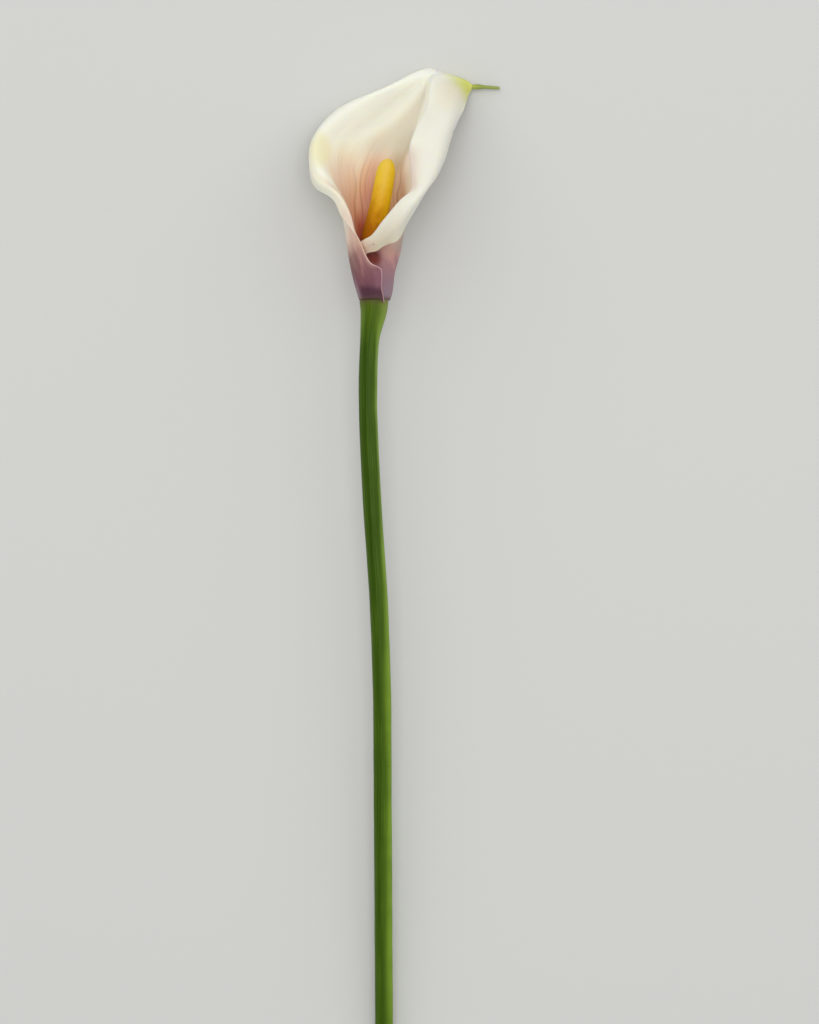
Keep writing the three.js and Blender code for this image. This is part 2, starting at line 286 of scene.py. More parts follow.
shaded = add(stalk, "Mix", {
    0: shaded_factor.outputs[0], 6: streaked.outputs[2], 7: "2f4d00",
}, data_type="RGBA")
pith = add(stalk, "Attribute", attribute_name="pith")
cells = add(stalk, "TexVoronoi", {"Vector": stalk_object.outputs["Object"], "Scale": CELL_SCALE})
pith_colour = add(stalk, "ValToRGB", {"Fac": cells.outputs["Distance"]}, stops=[
    (0.1, "8fa85a"), (0.35, "cfdca0"), (0.8, "e3eabf"),
])
stalk_colour = add(stalk, "Mix", {
    0: pith.outputs["Fac"], 6: shaded.outputs[2], 7: pith_colour.outputs["Color"],
}, data_type="RGBA")
stalk_bump = add(stalk, "Bump", {"Height": fibres.outputs["Fac"], "Distance": 0.00005, "Strength": 0.6})
stalk.node_tree.links.new(stalk_colour.outputs[2], stalk_skin.inputs["Base Color"])
stalk.node_tree.links.new(stalk_bump.outputs["Normal"], stalk_skin.inputs["Normal"])
stem.data.materials.append(stalk)
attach(stem, "root")
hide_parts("stem")


# The spathe. One leaf is rolled to a funnel: its left margin wraps over the right one at the tube's front,
# its right lip rolls outward over the throat, and its tip runs out into a green tail. Veins run side by side
# from the neck to the tip. Each line below runs along the leaf, and they stand in order round the funnel.
RIGHT_MARGIN = [
    [-2.2, 0, 4.7], [-2.9, 3.6, 5.4], [-4.2, 10.6, 6.6], [-4.6, 17.5, 8.8],
    [2.5, 20.8, 15.5], [9.6, 24.9, 15.5], [15.9, 34.7, 11], [22.8, 46.5, 5],
    [27.8, 53.9, 0], [31.3, 63.4, -4], [34.4, 74, -9], [38.7, 83.6, -15],
    [40.6, 90, -20.3], [41.3, 91.8, -22.5], [42, 93.1, -23.4], [42.7, 94.4, -24.2],
]
RIGHT_ROLL = [
    [1.3, 0, 5.1], [1, 3.6, 5.9], [0.1, 10.5, 7.3], [-5.8, 20.5, 8.9],
    [1.3, 23.2, 16.6], [7.9, 28.6, 18.2], [15.5, 38.6, 17.8], [21.2, 45.6, 15.5],
    [25.3, 53.4, 11], [27.9, 62.8, 8], [30.1, 72.1, 5], [32.8, 81.8, -2],
    [35.5, 91.3, -11], [38.9, 93.9, -18.4], [41.4, 94.2, -21.8], [42.8, 94.2, -23.2],
]
RIGHT_FOLD = [
    [4.7, 0, 3.5], [5, 3.6, 4.7], [4.4, 10.6, 6.6], [-7, 23.8, 8],
    [-0.9, 25.9, 13.8], [4.4, 32.2, 16], [11.5, 40.7, 16.5], [17.2, 46.4, 14.8],
    [16.4, 54.5, 12.5], [14.9, 62.5, 10], [18.3, 72.2, 7], [23.1, 82.9, -1],
    [26, 95.8, -9.5], [33.6, 97.3, -16.1], [40.1, 95.9, -20.9], [42.8, 94.4, -22.4],
]
RIGHT_FRONT = [
    [6.1, 0, 1.6], [6.9, 3.6, 2.3], [7.2, 10.9, 3.4], [3.4, 19.6, 6.1],
    [7, 24.8, 10.4], [10.4, 31, 12.2], [14.7, 39.2, 12], [15.9, 46.5, 8],
    [15.3, 55.3, 5.5], [15.9, 64.3, 3], [19.6, 73.5, 0], [23.8, 84.5, -6.5],
    [25.3, 97.1, -12], [32.3, 98.3, -16.4], [39.8, 96.6, -20.8], [42.8, 94.8, -22],
]
RIGHT_WALL = [
    [6.6, 0, -1], [7.6, 3.6, -0.9], [8.5, 11.2, -0.5], [10.2, 18, 1],
    [11.6, 23.9, 2.5], [12.9, 29.9, 3], [15.1, 37.7, 2.5], [14.2, 47.2, -2],
    [13.6, 57.2, -6], [15.9, 66.5, -8], [19.2, 76.2, -12], [22.7, 88, -15],
    [24.8, 98, -15], [31.5, 99.1, -17.1], [39.6, 97.1, -20.9], [42.8, 95.2, -21.9],
]
BACK = [
    [0, 0, -5.9], [0, 3.9, -7], [-0.1, 12, -9.2], [-0.1, 18.2, -10.8],
    [0.1, 24.4, -12], [0, 31.5, -13.4], [0.7, 40.4, -15.4], [1.5, 49.4, -17.6],
    [3, 58.9, -20.2], [5.4, 69.3, -22.6], [9.4, 79.6, -23.8], [15.9, 90.3, -22],
    [24.7, 99.4, -16.7], [31, 99.7, -18.1], [39.4, 97.6, -21.2], [42.8, 95.6, -22],
]
LEFT_WALL = [
    [-6, 0, -1], [-7.1, 3.6, -1], [-9.1, 11.3, -1], [-10.3, 17.3, -1],
    [-11, 23.4, -0.8], [-12.2, 30.7, -1.5], [-13.7, 40.1, -3.4], [-14.8, 48.5, -5.8],
    [-16.6, 58.9, -9.4], [-15.9, 71.6, -14], [-4.6, 82.4, -18], [10.4, 92.8, -19],
    [24.2, 100.6, -17.5], [30.5, 100.1, -19.1], [39.2, 98, -21.8], [42.8, 95.9, -22.3],
]
LEFT_FOLD = [
    [-4.5, 0, 4.9], [-5.6, 3.6, 5.5], [-7.4, 11.1, 6.6], [-7.8, 18.2, 8.4],
    [-8.4, 26.3, 9.4], [-10.3, 34.9, 9], [-13.2, 43.1, 8], [-19, 50.4, 6.4],
    [-24.1, 58, 1.2], [-24.9, 70.5, -7], [-13.2, 84, -14.5], [6.3, 94.1, -17.8],
    [23.6, 101.8, -18.7], [30.2, 100.8, -21], [39, 98.4, -22.8], [42.7, 96.1, -22.9],
]
LEFT_ROLL = [
    [-0.4, 0, 6.9], [-1.1, 3.6, 8], [-3, 10.8, 10], [-4.8, 18.3, 11.6],
    [-7.7, 27.2, 11.6], [-10.6, 36.4, 12.8], [-15.7, 44.5, 10.2], [-23.3, 50.2, 6.2],
    [-27.2, 58, -1.5], [-26.9, 70.4, -10.3], [-15.8, 84.7, -17.3], [4.6, 94.4, -20.8],
    [22.8, 102.7, -21], [29.9, 101.3, -23], [39, 98.6, -24], [42.7, 96.2, -23.6],
]
LEFT_MARGIN = [
    [4.5, 0, 5.9], [3.9, 3.9, 7.1], [3.5, 12, 9.6], [-1.8, 15.2, 11.8],
    [-7.1, 26.3, 13.4], [-13.6, 34.4, 11.4], [-17.4, 42.2, 7.8], [-25.4, 48.4, 1],
    [-28.1, 57.9, -8.5], [-26, 71.4, -17.4], [-14.5, 84.6, -25.5], [5.4, 93.8, -25.9],
    [22.4, 102.4, -26.2], [29.9, 100.9, -25.9], [39.3, 98.2, -25.2], [42.7, 96, -24.2],
]
# Between the back and each wall runs one more line, at these shares of the way across, along and up.
TUBE_SHARES = [0.72, 0.6, 0.28]
BOWL_SHARES = [0.56, 0.5, 0.3]
RIDGE_SHARES = [0.5, 0.5, 0.55]
TUBE_TO_BOWL = [5, 10]
BOWL_TO_RIDGE = [11, 14]
# The line of the tail's middle, and its radius at each of those points.
TAIL_LINE = [
    [41.3, 95.4, -22.9], [42.9, 95.2, -23.1], [46.6, 95.2, -23.4], [51, 95, -23.8], [55.1, 94.7, -24],
]
TAIL_RADII = [0.6, 1.15, 0.78, 0.72, 0.66]
TAIL_LENGTH = 13
TAIL_ROWS = 60
TAIL_SIDES = 24
TAIL_LUMPS = 0.06
SPATHE_ROWS = 176
SPATHE_COLUMNS = 256
STEPS_BETWEEN_LINES = 24
EVENING_ROUNDS = 60
SPATHE_THICKNESS = 0.8
EDGE_THICKNESS = 0.3
FULL_THICKNESS_INSET = 9
TIP_THINNING = 25


def line_between(back, wall, bowl):
    """The line between the back and a wall, which keeps its own shares only in the bowl."""
    station = np.arange(len(back))[:, None]
    shares = np.array(TUBE_SHARES) + (np.array(bowl) - TUBE_SHARES) * ease(station, *TUBE_TO_BOWL)
    shares += (np.array(RIDGE_SHARES) - shares) * ease(station, *BOWL_TO_RIDGE)
    return np.array(back) + (np.array(wall) - back) * shares


def spathe_rows():
    """The leaf's middle face, with each point's distance along, place across, and distance from a margin."""
    lines = np.array([
        RIGHT_MARGIN, RIGHT_ROLL, RIGHT_FOLD, RIGHT_FRONT, RIGHT_WALL,
        line_between(BACK, RIGHT_WALL, TUBE_SHARES), BACK, line_between(BACK, LEFT_WALL, BOWL_SHARES),
        LEFT_WALL, LEFT_FOLD, LEFT_ROLL, LEFT_MARGIN,
    ], float)
    steps = np.linalg.norm(np.diff(lines, axis=1), axis=2).mean(axis=0)
    reach = np.concatenate([[0], np.cumsum(steps)])
    along = np.linspace(0, reach[-1], SPATHE_ROWS)
    guides = smooth_line(lines.transpose(1, 0, 2), np.interp(along, reach, np.arange(len(reach))))
    counts = np.linspace(0, len(lines) - 1, STEPS_BETWEEN_LINES * (len(lines) - 1) + 1)
    fine = smooth_line(guides.transpose(1, 0, 2), counts)
    reached = np.concatenate([
        np.zeros((1, SPATHE_ROWS)), np.cumsum(np.linalg.norm(np.diff(fine, axis=0), axis=2), axis=0),
    ])
    shares = reached / reached[-1]
    for _ in range(EVENING_ROUNDS):
        shares[:, 1:-1] = (shares[:, :-2] + 2 * shares[:, 1:-1] + shares[:, 2:]) / 4
    across = np.linspace(0, 1, SPATHE_COLUMNS)
    rows = np.zeros((SPATHE_ROWS, SPATHE_COLUMNS, 3))
    place = np.zeros((SPATHE_ROWS, SPATHE_COLUMNS))
    for j in range(SPATHE_ROWS):
        place[j] = np.interp(across, shares[:, j], counts)
        for k in range(3):
            rows[j, :, k] = np.interp(across, shares[:, j], fine[:, j, k])
    inset = np.minimum(across, 1 - across) * reached[-1][:, None]
    return rows, np.repeat(along[:, None], SPATHE_COLUMNS, axis=1), place, inset


leaf_rows, leaf_along, leaf_place, leaf_inset = spathe_rows()
leaf_normal = np.cross(np.gradient(leaf_rows, axis=1), np.gradient(leaf_rows, axis=0))
leaf_normal /= np.linalg.norm(leaf_normal, axis=2, keepdims=True)
leaf_length = leaf_along.max()
leaf_tip = ease(leaf_along, leaf_length - 30, leaf_length - 6)


def spot(x, y, wide, long):
    """1 round a place seen from above, and 0 from an oval round it on."""
    return ease(np.hypot((leaf_rows[..., 0] - x) / wide, (leaf_rows[..., 1] - y) / long), 1, 0.4)


def hump(value, middle, width):
    """1 at the middle, with soft sides that are near 0 at twice the width from it."""
    return np.exp(-(((value - middle) / width) ** 2))


# Where the leaf is tinted, from 0 to 1. Place counts the lines from the right margin, 0, to the left one,
# 11, and along is the distance from the neck.
right_side = ease(leaf_place, 5.9, 5.2)
throat = ease(leaf_place, 2.9, 4.6) * ease(leaf_place, 9.1, 7.2)
lip = ease(leaf_place, 2.4, 1.4)
marks = {
    "along": leaf_along,
    "inset": leaf_inset,
    "streak_place": leaf_place + 0.1 * ease(leaf_along, 67, 60) * ease(leaf_place, 6, 6.5)
        - 0.3 * ease(leaf_along, 61, 54) * ease(leaf_place, 6, 5.5),
    "blush": throat * (1 - 0.25 * right_side * ease(leaf_along, 76, 62))
        * ease(leaf_along - 10 * ease(leaf_place, 6.9, 6.3), 83, 38),
    "rosy": 0.4 * ease(leaf_place, 6.9, 7.4) * ease(leaf_place, 9, 8.4) * ease(leaf_along, 74, 60)
        * ease(leaf_along, 34, 42),
    "ember": np.maximum(
        throat * ease(leaf_along, 37, 22),
        ease(leaf_along, 49, 36) * ease(leaf_place, 7.05, 6.75) * ease(leaf_place, 5.8, 6.3),
    ),
    "streaky": ease(leaf_along - 10 * right_side, 72, 52) * ease(leaf_along, 30, 40),
    "band": ease(leaf_place, 2.6, 1.7),
    # Tan on the right inner wall: partly its own colour, partly painted shade.
    "tan_and_painted_shade": throat * right_side * (0.35 + 0.45 * ease(leaf_along, 62, 72)) * ease(leaf_along, 95, 82),
    # The right wall's flank is painted paler: partly its pale pink, partly painted light where it turns away
    # from the lamps.
    "flank_and_painted_light": 0.95 * ease(leaf_place, 1.6, 2.3) * ease(leaf_place, 5, 3.6) * ease(leaf_along, 85, 70)
        * ease(leaf_along, 12, 24),
    # Painted shade along the band's inner edge.
    "painted_shade_band_edge": 0.6 * hump(leaf_place, 1.95, 0.3) * ease(leaf_along, 86, 76) * ease(leaf_along, 50, 58),
    "ridge_shade": 0.85 * ease(leaf_place + 0.04 * (leaf_along - 84), 7, 5.9) * ease(leaf_place, 3.8, 5)
        * ease(leaf_along, 68, 80) * ease(leaf_along, 122, 110),
    "sun_spot": 0.6 * spot(-23.3, 65, 5.6, 11),
    "fold": ease(leaf_place, 9, 9.5) * ease(leaf_along, 54, 30),
    "roll_cream": 0.4 * ease(leaf_place, 9.2, 9.8) * ease(leaf_along, 36, 44) * ease(leaf_along, 84, 74),
    "roll_shade": 0.75 * ease(leaf_place, 10.1, 9.3) * ease(leaf_place, 8.8, 9.2) * ease(leaf_along, 62, 48)
        * ease(leaf_along, 26, 34),
    "lip_shade": 0.75 * lip * ease(leaf_along, 50, 30) * ease(leaf_place, 2.7, 0.7),
    "lip_pink": 0.7 * lip * ease(leaf_along, 30, 22),
    "tip_flush": 0.55 * ease(leaf_place, 2, 1.2) * ease(leaf_along, 101, 122),
    "right": ease(leaf_place, 5.4, 4),
    # Greyer outside the tube's right side: partly its own grey, partly painted shadow of the lip above it.
    "grey_and_painted_lip_shadow": 0.55 * ease(leaf_place, 3.1, 3.8) * ease(leaf_place, 6.4, 5.4) * ease(leaf_along, 19, 27),
    "right_lilac": 0.55 * ease(leaf_place, 3.7, 4.2) * ease(leaf_place, 6.4, 5.4) * ease(leaf_along, 9, 13)
        * ease(leaf_along, 26, 20),
    "margin_pale": 0.5 * ease(leaf_place, 10.1, 10.7) * ease(leaf_along, 12.5, 18)
        * ease(leaf_along, 32, 24),
    "flap_shade": 0.45 * ease(leaf_place, 9.8, 9.1) * ease(leaf_place, 8.2, 8.6) * ease(leaf_along, 7, 12)
        * ease(leaf_along, 24, 19),
    "flap_light": 0.3 * ease(leaf_place, 10.2, 10.7) * ease(leaf_along, 3, 6) * ease(leaf_along, 14, 11),
    "column": 0.3 * hump(leaf_place, 9.7, 0.14) * ease(leaf_along, 8, 12) * ease(leaf_along, 24, 19),
    # Painted shade over the tube's left side, low down.
    "painted_shade_tube_left": 0.7 * ease(leaf_place, 9.1, 8.3) * ease(leaf_place, 3.6, 4.4) * ease(leaf_along, 5, 17)
        * ease(leaf_along, 31, 18),
    # Painted sheen that pales the tube's sides near their foot.
    "painted_sheen_tube_foot": 0.7 * ease(leaf_place, 9.1, 8.7) * ease(leaf_along, 14, 2),
    # Painted shade in dark red, in the hollow below the lip where the right layer tucks under the flap.
    "painted_shade_hollow": spot(-0.4, 17.4, 4.8, 5.6) * ease(leaf_place, 4.8, 4.2) * ease(leaf_rows[..., 2], 13, 10.5),
    "stain": ease(leaf_place, 8.8, 9.4) * ease(leaf_along + 1.5 * ease(leaf_place, 9.9, 10.7), 7.4, 4.2),
    "root": 0.6 * ease(leaf_along, 2.2, 0.2),
}

# The flap's margin has a corner where it leaves the tube, lies back a little below the corner, and hangs
# over the neck at its foot.
CORNER_ALONG = 12.3
CORNER_OUT = 0.45
CORNER_DOWN = 0.3
FLAP_BACK = 0.4
FLAP_HANG = 1.6
corner = ease(leaf_place, 10.2, 11) * hump(leaf_along, CORNER_ALONG, 1.6)
lying_back = FLAP_BACK * ease(leaf_place, 10, 11) * ease(leaf_along, 1, 4) * ease(leaf_along, 14, 11)
leaf_rows[..., 0] += CORNER_OUT * corner - lying_back
leaf_rows[..., 1] -= CORNER_DOWN * corner
leaf_rows[..., 1] -= FLAP_HANG * ease(leaf_place, 10.5, 11) * ease(leaf_along, 3, 0)
# The lip's inner end sinks behind the flap, and its lower margin has two low scallops, each as x, depth and
# width. Further up, the band's inner edge bows to the right.
LIP_END_X, LIP_END_DEPTH, LIP_END_WIDTH = -6.2, 1.2, 2.6
LIP_SCALLOPS = [(1.2, 0.6, 2.2), (10.3, 1.35, 2.8)]
BAND_BOW = 0.9
BAND_BOW_ALONG = 76
lip_end = ease(leaf_place, 0.7, 1.6) * ease(leaf_place, 3.6, 2.6) * ease(leaf_along, 13, 18)
leaf_rows[..., 1] -= LIP_END_DEPTH * lip_end * hump(leaf_rows[..., 0], LIP_END_X, LIP_END_WIDTH)
band_bow = ease(leaf_place, 0.8, 1.9) * ease(leaf_place, 3.9, 2.9) * hump(leaf_along, BAND_BOW_ALONG, 9)
leaf_rows[..., 0] += BAND_BOW * band_bow
lip_margin = ease(leaf_place, 1.1, 0) * ease(leaf_along, 21, 25) * ease(leaf_along, 48, 38)
for x, depth, wide in LIP_SCALLOPS:
    leaf_rows[..., 1] -= depth * lip_margin * hump(leaf_rows[..., 0], x, wide)

# Veins run along the leaf and wander a little, with pleats between them in the throat. The open blade waves,
# and its margins ruffle.
VEINS = 46
VEIN_HEIGHT = 0.025
VEIN_WANDER = 0.7
VEIN_SHARPNESS = 5
PLEAT_HEIGHT = 0.05
WAVE_HEIGHT = 0.35
RUFFLE_HEIGHT = 0.22
RUFFLE_REACH = 5


def leaf_noise(across, distance, patches, length, seed):
    """Noise on the leaf, with so many patches across it, each so many millimetres long."""
    return noise.noise(Vector((across * patches, distance / length, seed)))


vein = np.zeros_like(leaf_along)
height = np.zeros_like(leaf_along)
for j in range(SPATHE_ROWS):
    for i in range(SPATHE_COLUMNS):
        across = i / (SPATHE_COLUMNS - 1)
        distance = leaf_along[j, i]
        wander = VEIN_WANDER * leaf_noise(across, distance, patches=17, length=90, seed=3)
        turn = VEINS * across + wander
        vein[j, i] = math.exp(-((turn - round(turn)) * VEIN_SHARPNESS) ** 2)
        wave = WAVE_HEIGHT * leaf_noise(across, distance, patches=7, length=26, seed=11)
        ruffle = RUFFLE_HEIGHT * leaf_noise(across, distance, patches=3, length=9, seed=23)
        height[j, i] = wave + ruffle * math.exp(-leaf_inset[j, i] / RUFFLE_REACH)
opened = ease(leaf_along, 8, 30) * (1 - leaf_tip)
pleat = VEIN_HEIGHT + PLEAT_HEIGHT * marks["blush"]
pleat *= ease(leaf_inset, 0.5, 5) * ease(leaf_along, 0, 8) * (1 - leaf_tip)
leaf_rows += leaf_normal * (height * opened + vein * pleat)[..., None]
leaf = grow("spathe_leaf", leaf_rows, **marks)

# The leaf is thickest in the middle and thins to its margins and its tip.
insets = [mark.value for mark in leaf.data.attributes["inset"].data]
reaches = [mark.value for mark in leaf.data.attributes["along"].data]
thickness = leaf.vertex_groups.new(name="thickness")
for k, (inset, reach) in enumerate(zip(insets, reaches)):
    full = ease(inset, 0, FULL_THICKNESS_INSET) * ease(reach, leaf_length, leaf_length - TIP_THINNING)
    share = (EDGE_THICKNESS + (SPATHE_THICKNESS - EDGE_THICKNESS) * full) / SPATHE_THICKNESS
    thickness.add([k], float(share), "REPLACE")
shell = leaf.modifiers.new("leaf_flesh", "SOLIDIFY")
shell.thickness = SPATHE_THICKNESS / 1000
shell.offset = 0
shell.vertex_group = "thickness"
shell.material_offset = 1
shell.material_offset_rim = 2

# Calla spathe: a thin waxy petal-like leaf, satin smooth, that light enters and leaves again. Its outer face
# is purple at the neck and cream above. Its inner face is red deep in the throat, tan and pink above, then
# cream. Its margin is paler than both, and its tail is as green and waxy as the stalk.
petal_outer, outer_skin = tissue(
    "calla_spathe_outer_satin", roughness=0.5, specular=0.35, scatter=0.7, depth=0.9,
)
petal_inner, inner_skin = tissue(
    "calla_spathe_inner_satin", roughness=0.48, specular=0.35, scatter=0.8, depth=0.9,
)
petal_edge, edge_skin = tissue("calla_spathe_cut_edge", roughness=0.5, specular=0.3, scatter=0.8, depth=0.7)
tail_finish, tail_skin = tissue(
    "calla_tail_waxy_green", roughness=0.42, specular=0.4, scatter=0.3, depth=0.6,
)
# The purple fades upwards over this length, sooner on the tube's right side. The tints go over it, each with
# the name of its mark, and a later one lies over an earlier one.
PURPLE_LENGTH = 44
OUTER_STOPS = [
    (0, "6f4653"), (0.1, "764a57"), (0.2, "80505a"), (0.3, "8c5d63"), (0.4, "a67a76"), (0.48, "bd9488"),
    (0.57, "dab6a2"), (0.66, "e4c2b0"), (0.85, "efe3cf"), (1, "f3efdc"),
]
RIGHT_STOPS = [
    (0, "8e6d76"), (0.1, "96707c"), (0.2, "99727c"), (0.3, "a0777c"), (0.4, "b48888"), (0.5, "cda092"),
    (0.6, "d2aa9c"), (0.7, "d6b8a4"), (0.85, "e2d0ba"), (1, "efe8d4"),
]
# Some outer tints are painted light: a painted sheen on the tube's sides near its foot, painted shade on its
# left side and in the hollow below the lip, and a grey that is partly painted shadow of the lip.
OUTER_TINTS = {
    "painted_sheen_tube_foot": "94808a", "painted_shade_tube_left": "785250", "grey_and_painted_lip_shadow": "969088", "right_lilac": "baa0a8",
    "margin_pale": "e0b4a4", "flap_shade": "74484a", "flap_light": "a87c88", "column": "c49488",
    "painted_shade_hollow": "7c3428", "stain": "563040", "root": "665040",
}
# The margin's hem, from full to none at these distances from the margin.
HEM_FULL, HEM_NONE = 0.15, 0.5
HEM_STOPS = [(0, "d0a6b0"), (0.3, "dcb2bc"), (0.5, "ecc6b4"), (1, "f5f1df")]
EDGE_STOPS = [
    (0, "8a6a62"), (0.04, "e0b8c2"), (0.3, "ecc0ca"), (0.5, "eec6b6"), (0.65, "f0d4c2"), (1, "f3f0e2"),
]
# The inner face, from cream to the throat's deepest blush.
INNER_STOPS = [
    (0, "faf8e8"), (0.15, "f4e8d1"), (0.3, "f0dcc3"), (0.5, "ecccac"), (0.7, "e8c09d"), (0.87, "e4b694"),
    (1, "e0ac8e"),
]
# Some inner tints are painted light: the right wall's tan is partly painted shade, its pale flank partly
# painted light, and the band's edge, the ridge, the roll and the lip have painted shade.
INNER_TINTS = {
    "tan_and_painted_shade": "c2b08c", "band": "efede0", "flank_and_painted_light": "fceee2", "rosy": "f2d8c6", "painted_shade_band_edge": "d8c6b6",
    "ridge_shade": "dcd5c2", "sun_spot": "efe8b4", "fold": "e4cebe", "roll_cream": "f4e8cc",
    "roll_shade": "d0b8a4", "lip_shade": "c8bca2", "lip_pink": "dcb6a2", "tip_flush": "e2d8b8",
    "ember": "c46a52",
}
# Soft rosy columns of about 8 mm, and fine brown lines about a millimetre and a half apart, each as patches
# across the leaf, the noise where it starts and is full, its strength and its tint.
THROAT_LINES = [(14, 0.5, 0.72, 0.5, "d79f97"), (75, 0.56, 0.66, 0.5, "a87048")]
# Brown streaks in the throat, as their places across the leaf and how strong they are.
STREAKS = {4.8: 0.65, 5.2: 0.1, 6.3: 0.3, 6.62: 0.04, 7.0: 0.4, 7.32: 0.15, 7.62: 0.12}
STREAK_HALF_WIDTH = 0.09
STREAK_FROM, STREAK_TO = 4.5, 8
STREAK_WANDER = 0.12
# The tip's green flush, 15 mm round its middle, and one small brown speck on the lip, a millimetre across.
TIP_GLOW = tuple((np.array([41, 97.6, -22]) + NECK) / 1000)
TIP_GLOW_RADIUS = 0.015
TIP_GLOW_STOPS = [(0, 0.93), (0.2, 0.8), (0.41, 0.64), (0.62, 0.4), (0.8, 0.15), (1, 0.0)]
SPECK = tuple((np.array([0, 22.4, 15.6]) + NECK) / 1000)
SPECK_FULL, SPECK_NONE = 0.0002, 0.0005
# The leaf's grain is about a fifth of a millimetre, and its fine veins about half of one.
GRAIN_SCALE = 5000
FINE_VEINS = 230


def tip_green(material, colour):
    """The yellow-green flush above the tail's root, over a colour."""
    place = add(material, "TexCoord")
    away = add(material, "VectorMath", {0: place.outputs["Object"], 1: TIP_GLOW}, operation="DISTANCE")
    share = add(material, "MapRange", {
        "Value": away.outputs["Value"], "From Min": 0, "From Max": TIP_GLOW_RADIUS,
    })
    flush = add(material, "ValToRGB", {"Fac": share.outputs[0]}, stops=TIP_GLOW_STOPS)
    return add(material, "Mix", {
        0: flush.outputs["Color"], 6: colour, 7: "d0d444",
    }, data_type="RGBA").outputs[2]


def tinted(material, colour, tints):
    """A colour with tints laid over it, each as strong as the piece's mark of that name."""
    for mark, tint in tints.items():
        amount = add(material, "Attribute", attribute_name=mark)
        colour = add(material, "Mix", {
            0: amount.outputs["Fac"], 6: colour, 7: tint,
        }, data_type="RGBA").outputs[2]
    return colour


def leaf_streaks(material, across, along, detail):
    """Noise drawn out along the veins, with so many patches across the leaf and along it."""
    grown = add(material, "UVMap", uv_map="grown")
    place = add(material, "VectorMath", {
        0: grown.outputs["UV"], 1: (across, along, 1),
    }, operation="MULTIPLY")
    return add(material, "TexNoise", {
        "Vector": place.outputs[0], "Scale": 1, "Detail": detail, "Roughness": 0.55,
    }).outputs["Fac"]


def leaf_bump(material, skin):
    """Fine veins, and under them the leaf's grain."""
    place = add(material, "TexCoord")
    grain = add(material, "TexNoise", {"Vector": place.outputs["Object"], "Scale": GRAIN_SCALE, "Detail": 1})
    fine = add(material, "Bump", {"Height": grain.outputs["Fac"], "Distance": 0.000012, "Strength": 0.5})
    veins = add(material, "Bump", {
        "Height": leaf_streaks(material, across=FINE_VEINS, along=3, detail=1),
        "Distance": 0.00004, "Strength": 0.5, "Normal": fine.outputs["Normal"],
    })
    material.node_tree.links.new(veins.outputs["Normal"], skin.inputs["Normal"])


mark = add(petal_outer, "Attribute", attribute_name="along")
low = add(petal_outer, "MapRange", {
    "Value": mark.outputs["Fac"], "From Min": 0, "From Max": PURPLE_LENGTH,
})
wander = add(petal_outer, "MapRange", {
    "Value": leaf_streaks(petal_outer, across=22, along=1.6, detail=3), "From Min": 0, "From Max": 1,
    "To Min": -0.19, "To Max": 0.19,
})
moved = add(petal_outer, "Math", {0: low.outputs[0], 1: wander.outputs[0]}, operation="ADD")
left_purple = add(petal_outer, "ValToRGB", {"Fac": moved.outputs[0]}, stops=OUTER_STOPS)
right_purple = add(petal_outer, "ValToRGB", {"Fac": moved.outputs[0]}, stops=RIGHT_STOPS)
right = add(petal_outer, "Attribute", attribute_name="right")
purple = add(petal_outer, "Mix", {
    0: right.outputs["Fac"], 6: left_purple.outputs["Color"], 7: right_purple.outputs["Color"],
}, data_type="RGBA")
stained = tinted(petal_outer, purple.outputs[2], OUTER_TINTS)
inset_mark = add(petal_outer, "Attribute", attribute_name="inset")
hem = add(petal_outer, "MapRange", {
    "Value": inset_mark.outputs["Fac"], "From Min": HEM_FULL, "From Max": HEM_NONE,
    "To Min": 0.8, "To Max": 0,
})
hem_colour = add(petal_outer, "ValToRGB", {"Fac": low.outputs[0]}, stops=HEM_STOPS)
hemmed = add(petal_outer, "Mix", {
    0: hem.outputs[0], 6: stained, 7: hem_colour.outputs["Color"],
}, data_type="RGBA")
petal_outer.node_tree.links.new(tip_green(petal_outer, hemmed.outputs[2]), outer_skin.inputs["Base Color"])
leaf_bump(petal_outer, outer_skin)

blush_mark = add(petal_inner, "Attribute", attribute_name="blush")
wander = add(petal_inner, "MapRange", {
    "Value": leaf_streaks(petal_inner, across=30, along=1.2, detail=3), "From Min": 0.25, "From Max": 0.75,
    "To Min": 0.8, "To Max": 1.2,
})
moved = add(petal_inner, "Math", {0: blush_mark.outputs["Fac"], 1: wander.outputs[0]}, operation="MULTIPLY")
pink = add(petal_inner, "ValToRGB", {"Fac": moved.outputs[0]}, stops=INNER_STOPS)
inner_colour = pink.outputs["Color"]
for patches, starting, full, strength, tint in THROAT_LINES:
    lines = add(petal_inner, "ValToRGB", {
        "Fac": leaf_streaks(petal_inner, across=patches, along=0.8, detail=2),
    }, stops=[(starting, 0.0), (full, strength)])
    share = add(petal_inner, "Math", {
        0: lines.outputs["Color"], 1: blush_mark.outputs["Fac"],
    }, operation="MULTIPLY")
    inner_colour = add(petal_inner, "Mix", {
        0: share.outputs[0], 6: inner_colour, 7: tint,
    }, data_type="RGBA").outputs[2]
streak_stops = [(0, 0.0)]
for place, strength in STREAKS.items():
    for offset, level in ((-STREAK_HALF_WIDTH, 0.0), (0, strength), (STREAK_HALF_WIDTH, 0.0)):
        streak_stops.append(((place + offset - STREAK_FROM) / (STREAK_TO - STREAK_FROM), level))
place_mark = add(petal_inner, "Attribute", attribute_name="streak_place")
meander = add(petal_inner, "MapRange", {
    "Value": leaf_streaks(petal_inner, across=3, along=7, detail=2), "From Min": 0, "From Max": 1,
    "To Min": -STREAK_WANDER, "To Max": STREAK_WANDER,
})
meandered = add(petal_inner, "Math", {
    0: place_mark.outputs["Fac"], 1: meander.outputs[0],
}, operation="ADD")
streak_place = add(petal_inner, "MapRange", {
    "Value": meandered.outputs[0], "From Min": STREAK_FROM, "From Max": STREAK_TO,
})
streak_lines = add(petal_inner, "ValToRGB", {"Fac": streak_place.outputs[0]}, stops=streak_stops)
streaky = add(petal_inner, "Attribute", attribute_name="streaky")
